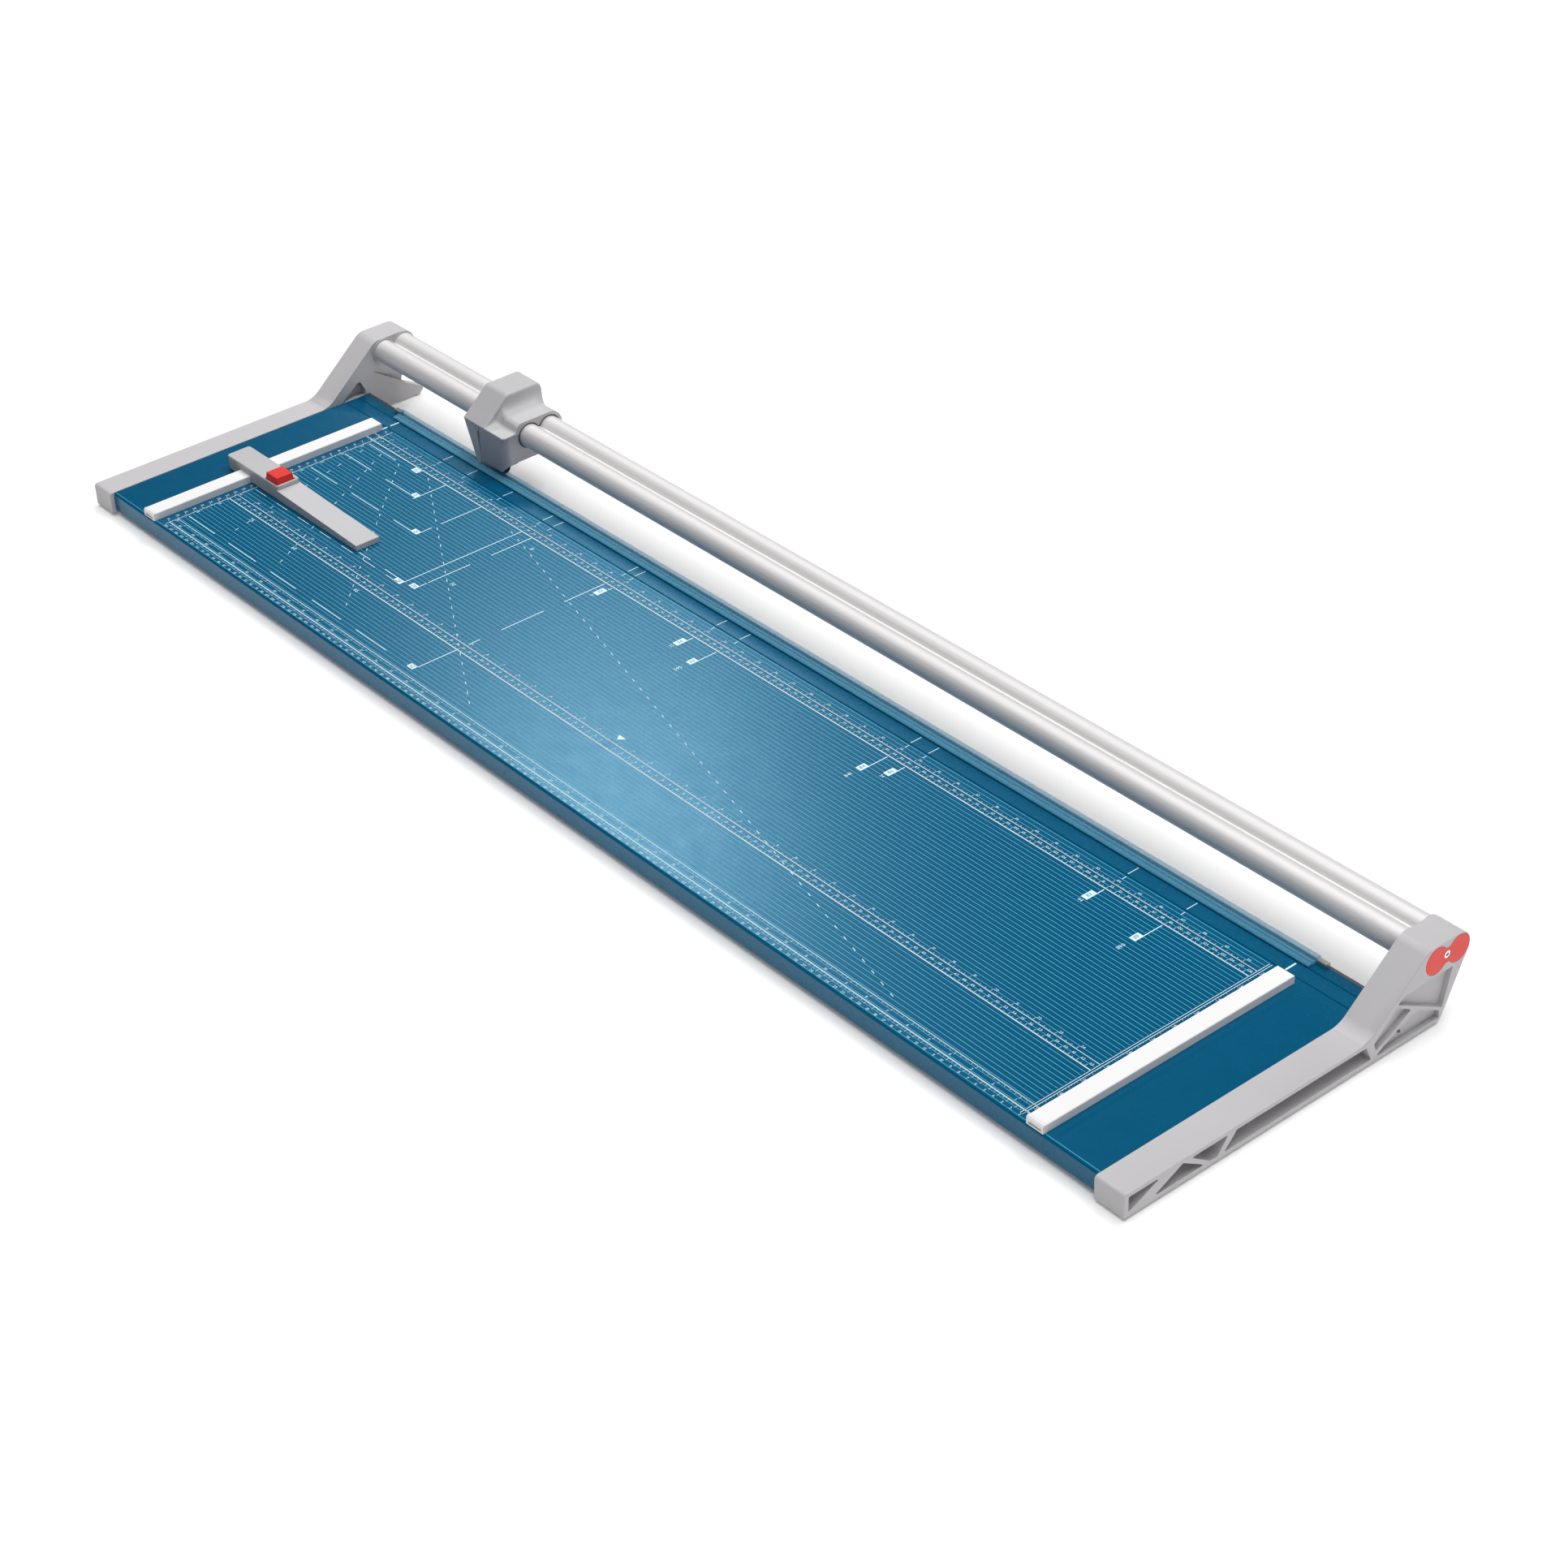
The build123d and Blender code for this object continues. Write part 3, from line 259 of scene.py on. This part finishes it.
yielding_spring("button_spring", "backstop")
for side in ("left", "right"):
    yielding_spring("strip_spring_" + side, "base")


# ---------------------------------------------------------------- printed scales

INCH = 25.4
CM = 10.0
TABLE_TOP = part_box("table_plate")[1][2] / MM
CUT_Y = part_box("counter_blade")[1][1] / MM
ZERO = -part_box("side_stop_left")[1][0] / MM       # both zero marks are at the side stops' inner faces
INK_THICK = 0.05
FIGURE_GAP = 0.16          # between two figures, as a share of their height


def figure_shapes():
    """Each figure as a closed mesh 1 high and 1 thick, standing on y = 0, with its width."""
    shapes = {}
    for character in "0123456789":
        curve = bpy.data.curves.new("figure", "FONT")
        curve.body = character
        curve.resolution_u = 2
        curve.extrude = 0.5
        figure = bpy.data.objects.new("figure", curve)
        bpy.context.scene.collection.objects.link(figure)
        mesh = figure.evaluated_get(bpy.context.evaluated_depsgraph_get()).to_mesh()
        solid = bmesh.new()
        solid.from_mesh(mesh)
        bmesh.ops.remove_doubles(solid, verts=solid.verts, dist=0.0001)
        points = [v.co.copy() for v in solid.verts]
        low = [min(p[i] for p in points) for i in range(3)]
        high = [max(p[i] for p in points) for i in range(3)]
        height = high[1] - low[1]
        points = [((p.x - low[0]) / height, (p.y - low[1]) / height, p.z - low[2]) for p in points]
        faces = [[v.index for v in f.verts] for f in solid.faces]
        shapes[character] = (points, faces, (high[0] - low[0]) / height)
        solid.free()
        bpy.data.objects.remove(figure)
        bpy.data.curves.remove(curve)
    return shapes


FIGURES = figure_shapes()


class Ink:
    """Marks of one colour, gathered in millimetres into one thin closed mesh on the table."""

    def __init__(self, layer=0):
        self.bottom = TABLE_TOP + layer * INK_THICK
        self.points = []
        self.faces = []

    def shape(self, outline):
        """A flat prism over an anticlockwise outline."""
        first, count = len(self.points), len(outline)
        for z in (self.bottom, self.bottom + INK_THICK):
            self.points += [(x, y, z) for x, y in outline]
        self.faces.append([first + count - 1 - i for i in range(count)])
        self.faces.append([first + count + i for i in range(count)])
        for i in range(count):
            j = (i + 1) % count
            self.faces.append([first + i, first + j, first + count + j, first + count + i])

    def stroke(self, start, end, width):
        """A straight stroke between two points."""
        along = (Vector(end) - Vector(start)).normalized() * width / 2
        side = Vector((-along.y, along.x))
        a, b = Vector(start), Vector(end)
        self.shape([a - side, b - side, b + side, a + side])

    def bar(self, x, y):
        """A rectangle between two limits on each axis."""
        self.shape([(x[0], y[0]), (x[1], y[0]), (x[1], y[1]), (x[0], y[1])])

    def number(self, value, x, y, height, upright=True, centred=False):
        """Figures starting at x, with their feet at y; upright is false for figures that read upwards."""
        text = str(value)
        if centred:
            width = sum(FIGURES[c][2] + FIGURE_GAP for c in text) - FIGURE_GAP
            x, y = (x - width * height / 2, y) if upright else (x, y - width * height / 2)
        reach = 0
        for character in text:
            shape, faces, width = FIGURES[character]
            first = len(self.points)
            for px, py, pz in shape:
                across, up = (reach + px) * height, py * height
                place = (x + across, y + up) if upright else (x - up, y + across)
                self.points.append((*place, self.bottom + pz * INK_THICK))
            self.faces += [[first + i for i in face] for face in faces]
            reach += width + FIGURE_GAP

    def finish(self, name, material):
        mesh = bpy.data.meshes.new(name)
        mesh.from_pydata([tuple(c * MM for c in p) for p in self.points], [], self.faces)
        mesh.materials.append(material)
        piece = bpy.data.objects.new(name, mesh)
        bpy.context.scene.collection.objects.link(piece)
        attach(piece, "base")


def ruler(ink, zero, way, base, unit, divisions, count, up, label_y, after):
    """Ticks along a base line, each whole unit numbered; way is the direction it counts in."""
    fine, middle = divisions
    lengths = (1.1, 2.4, 4.2)      # fine, middle and whole ticks
    for i in range(count * fine + 1):
        x = zero + way * unit * i / fine
        rank = (i % fine == 0) + (i % middle == 0)
        ink.bar((x - TICK / 2, x + TICK / 2), sorted((base, base + up * lengths[rank])))
    for i in range(1, count + 1):
        x = zero + way * unit * i
        width = sum(FIGURES[c][2] + FIGURE_GAP for c in str(i)) * LABEL
        ink.number(i, x + 0.6 if after else x - 0.4 - width, label_y - LABEL / 2, LABEL)


LABEL = 2.8                # height of the scales' figures
ANGLE_LABEL = 4.4
RULING_PITCH = 5
RULING = 0.42              # width of a ruled line
RULING_START = 70          # the ruled line that the back scale stands on
TICK = 0.32                # width of a tick
CM_TICKS = (10, 5)         # ticks in a unit, and how many of them make a middle step
INCH_TICKS = (16, 4)
CM_COUNT = 128
INCH_COUNT = 50
HALF_CM_COUNT = 63         # the middle scales count both ways from the centre
HALF_INCH_COUNT = 24


def print_rows(ink):
    """The three double scales across the table."""
    field = (-ZERO, ZERO - 12)
    ink.bar(field, (69.5, 70.5))
    ink.bar(field, (79.7, 80.3))
    ruler(ink, -ZERO, 1, 70, CM, CM_TICKS, CM_COUNT, 1, 76, True)
    ruler(ink, -ZERO, 1, 80, INCH, INCH_TICKS, INCH_COUNT, 1, 86, True)
    middle = (-ZERO + 12, ZERO - 12)
    ink.bar(middle, (-100.1, -99.5))
    ink.bar(middle, (-110.9, -109.9))
    for way in (-1, 1):
        ruler(ink, 0, way, -110.4, CM, CM_TICKS, HALF_CM_COUNT, 1, -104.2, True)
        ruler(ink, 0, way, -99.8, INCH, INCH_TICKS, HALF_INCH_COUNT, 1, -94, True)
    ink.shape([(0.5, -94), (5.7, -87.5), (-4.7, -87.5)])
    front = (-ZERO + 12, ZERO)
    ink.bar(front, (-172.3, -171.7))
    ink.bar(front, (-182.5, -181.5))
    ruler(ink, ZERO, -1, -182, CM, CM_TICKS, CM_COUNT, -1, -188.6, False)
    ruler(ink, ZERO, -1, -172, INCH, INCH_TICKS, INCH_COUNT, -1, -178.4, False)


def print_sides(ink):
    """Upright scales beside the side stops, counted from the cutting edge."""
    bottom = -187
    left, right = -637.5, 637.5
    ink.bar((left - 0.3, left + 0.3), (bottom, 95))
    ink.bar((right - 0.3, right + 0.3), (bottom, 95))
    ink.bar((right + 2.2, right + 2.8), (bottom, 95))
    for i in range(4, 32):
        y = CUT_Y - CM * i
        ink.bar((left - 4, left), (y - 0.15, y + 0.15))
        ink.number(i, left - 5, y + 0.6, LABEL, upright=False)
    for i in range(2 * 8, 12 * 8 + 1):
        y = CUT_Y - INCH * i / 8
        reach = 4.0 if i % 8 == 0 else 2.2 if i % 4 == 0 else 1.2
        ink.bar((right + 2.5, right + 2.5 + reach), (y - 0.15, y + 0.15))
        ink.bar((left, left + reach), (y - 0.15, y + 0.15))
        if i % 8 == 0:
            ink.number(i // 8, right + 4.5, y + 1.2, 3.2)
            ink.number(i // 8, left - 2.6 + 4.2, y + 0.8, LABEL)
    for side, low, high in ((-1, 91, 98), (-1, 102, 113), (1, 98.5, 111)):
        x = side * (ZERO + 1.6)
        ink.bar((x - 0.9, x + 0.9), (low, high))


def print_formats(ink, figures):
    """Marks for common sheet widths: a leader down from the back scale, a white box and a figure.

    Each mark is given by its x, the end of its leader, its box and the room for a width in millimetres.
    """
    marks = (
        (-217.5, 63, (49, 62), None),
        (-90, 61, (48, 61), None),
        (-54.5, 46, (36, 46), (12, 34)),
        (191.5, 46, (35.5, 46), (12, 34)),
        (215, 60, (48, 60), None),
        (470.5, 60, (47, 60), None),
        (540, 46, (35.5, 46), (10, 34)),
    )
    for x, leader_end, box, note in marks:
        ink.bar((x - 0.5, x + 0.5), (leader_end, 68))
        ink.bar((x - 6.8, x + 0.6), box)
        figures.number(round((x + ZERO) / CM), x - 1.4, sum(box) / 2, 4.0, upright=False, centred=True)
        if note:
            ink.number(round(x + ZERO), x - 0.6, sum(note) / 2, 4.2, upright=False, centred=True)
        else:
            ink.number(round((x + ZERO) / INCH), x - 3.4, box[0] - 5.5, 3.4, centred=True)
    for x in (-549.5, -505.8, -443, -373.8, -356, -232.5, -220.5, -92.5, -57, 188.8, 212.8, 468, 538):
        ink.bar((x - 0.4, x + 0.4), (99, 112))
        ink.bar((x + 1.6, x + 2.4), (90, 95))


def print_frames(ink, figures):
    """Broken outlines of common sheet sizes, laid from the left zero mark.

    Each upright line is given by its x, its pieces from low to high, and the box of its figure.
    """
    upright = (
        (-229.5, ((18, 68), (-58, -7), (-96, -83), (-156, -111)), (-239.5, -230, -162.5, -156)),
        (-352.5, ((19, 70), (-58, -7), (-68, -60)), (-362, -352, -75.5, -68.5)),
        (-370, ((-74, 70),), (-382, -370, -81, -74)),
        (-440, ((19, 70), (-5, 8)), (-450, -439.5, -12, -5.5)),
        (-503, ((38, 70), (28, 31)), (-512, -502.5, 31, 38)),
        (-545.5, ((62, 70),), (-556, -545.5, 62, 69)),
    )
    for x, pieces, box in upright:
        for low, high in pieces:
            ink.bar((x - 0.5, x + 0.5), (low, high))
        ink.bar(box[:2], box[2:])
        figures.number(round((x + ZERO) / CM), sum(box[:2]) / 2, sum(box[2:]) / 2 - 2, 4, centred=True)
    level = (
        (62.5, ((-634, -584),)),
        (31.5, ((-634, -584), (-558, -513))),
        (-11.5, ((-634, -584), (-558, -507), (-481, -450))),
        (-74.5, ((-450, -430), (-404, -382))),
        (-161, ((-634, -584), (-558, -507), (-480, -434), (-405, -354), (-328, -276))),
    )
    for y, pieces in level:
        for left, right in pieces:
            ink.bar((left, right), (y - 0.4, y + 0.4))
    for i in range(7):
        left = -634 + 40 * i
        ink.bar((left, left + 20), (-80.4, -79.6))


def print_angles(ink):
    """Dashed rays from the left end of the cut, every 15 degrees, each with its angle beside it."""
    corner = Vector((-ZERO, 135))
    dash, pitch = 5, 17.6
    ends = {15: 1166, 30: 602, 45: 422, 60: 344, 75: 310}
    for degrees, length in ends.items():
        way = Vector((math.cos(math.radians(degrees)), -math.sin(math.radians(degrees))))
        for i in range(int(70 / math.sin(math.radians(degrees)) / pitch) + 1, int(length / pitch)):
            start = corner + way * pitch * i
            ink.stroke(start, start + way * dash, 0.7)
    names = {15: (-334, 54), 30: (-333, -44), 45: (-390, -121), 60: (-503, -120), 75: (-582, -120)}
    for degrees, (x, y) in names.items():
        ink.number(degrees, x, y, ANGLE_LABEL, centred=True)


def print_field(ink):
    """Fine ruled lines every 5 mm, and a pale line along the front bend, a painted highlight where the
    sheet bends down.
    """
    for i in range(-52, 6):
        y = RULING_START + RULING_PITCH * i
        if i != 0:
            ink.bar((-ZERO + 14.5, ZERO - 14), (y - RULING / 2, y + RULING / 2))
    # pale line along the front bend: a painted highlight, not print
    ink.bar((-ZERO - 80, ZERO + 80), (-190.4, -190.0))


white_ink, ruling_and_highlight_ink, blue_ink = Ink(layer=1), Ink(), Ink(layer=2)
print_rows(white_ink)
print_sides(white_ink)
print_formats(white_ink, blue_ink)
print_frames(white_ink, blue_ink)
print_angles(white_ink)
print_field(ruling_and_highlight_ink)
white_ink.finish("print_scales", paint("ink_white", (0.66, 0.85, 0.92)))
# the ruling's pale ink also carries the painted highlight along the front bend
ruling_and_highlight_ink.finish("ruling_and_bend_highlight", paint("pale_ink_and_bend_highlight", (0.07, 0.54, 0.80)))
blue_ink.finish("print_box_figures", paint("ink_blue", (0.01, 0.10, 0.20)))


# ---------------------------------------------------------------- stage, light, camera

def make_floor():
    mesh = bpy.data.meshes.new("floor")
    size, z = 14.0, -0.0005
    corners = [(-size, -size, z), (size, -size, z), (size, size, z), (-size, size, z)]
    mesh.from_pydata(corners, [], [(0, 1, 2, 3)])
    floor = bpy.data.objects.new("floor", mesh)
    bpy.context.scene.collection.objects.link(floor)
    s = Shader("floor_white")
    s.bsdf.inputs["Base Color"].default_value = (0.93, 0.93, 0.93, 1)
    s.bsdf.inputs["Roughness"].default_value = 0.9
    s.bsdf.inputs["Specular IOR Level"].default_value = 0.1
    s.bsdf.inputs["Emission Color"].default_value = (1, 1, 1, 1)
    s.bsdf.inputs["Emission Strength"].default_value = 0.12
    mesh.materials.append(s.material)


def soft_light(name, place, target, size, power):
    light = bpy.data.lights.new(name, "AREA")
    light.shape = "RECTANGLE"
    light.size, light.size_y = size
    light.energy = power
    lamp = bpy.data.objects.new(name, light)
    lamp.location = place
    lamp.rotation_mode = "QUATERNION"
    lamp.rotation_quaternion = (Vector(target) - Vector(place)).to_track_quat("-Z", "Y")
    bpy.context.scene.collection.objects.link(lamp)


def make_camera():
    azimuth, elevation, roll = (math.radians(d) for d in (51.5, 34.14, -2.61))
    back = Vector((math.sin(azimuth) * math.cos(elevation), -math.cos(azimuth) * math.cos(elevation),
                   math.sin(elevation)))
    right = Vector((0, 0, 1)).cross(back).normalized()
    up = back.cross(right)
    rolled_right = math.cos(roll) * right + math.sin(roll) * up
    rolled_up = math.cos(roll) * up - math.sin(roll) * right
    data = bpy.data.cameras.new("camera")
    data.lens = 77.86
    data.sensor_width = 36
    camera = bpy.data.objects.new("camera", data)
    camera.matrix_world = Matrix((
        (rolled_right.x, rolled_up.x, back.x, 2.12987),
        (rolled_right.y, rolled_up.y, back.y, -1.59468),
        (rolled_right.z, rolled_up.z, back.z, 1.73101),
        (0, 0, 0, 1),
    ))
    bpy.context.scene.collection.objects.link(camera)
    bpy.context.scene.camera = camera


world = bpy.data.worlds.new("studio")
world.use_nodes = True
sky = world.node_tree
direction = sky.nodes.new("ShaderNodeTexCoord").outputs["Generated"]
height = sky.nodes.new("ShaderNodeSeparateXYZ")
sky.links.new(direction, height.inputs[0])
rise = sky.nodes.new("ShaderNodeMapRange")
rise.interpolation_type = "SMOOTHSTEP"
for key, number in (("From Min", 0.75), ("From Max", 1.0), ("To Min", 0.04), ("To Max", 3.6)):
    rise.inputs[key].default_value = number
sky.links.new(height.outputs["Z"], rise.inputs["Value"])
sky.links.new(rise.outputs["Result"], sky.nodes["Background"].inputs["Strength"])
sky.nodes["Background"].inputs["Color"].default_value = (1, 1, 1, 1)
bpy.context.scene.world = world
make_floor()
soft_light("key", (0.3, 2.2, 4.2), (0, 0, 0), (2.0, 2.0), 70)
soft_light("window", (-2.64, 1.72, 2.42), (0, -0.15, 0), (0.6, 0.5), 18)
soft_light("fill", (3.6, -0.6, 0.8), (0.76, 0, 0), (1.5, 1.2), 14)
make_camera()
bpy.context.scene.view_settings.view_transform = "Standard"
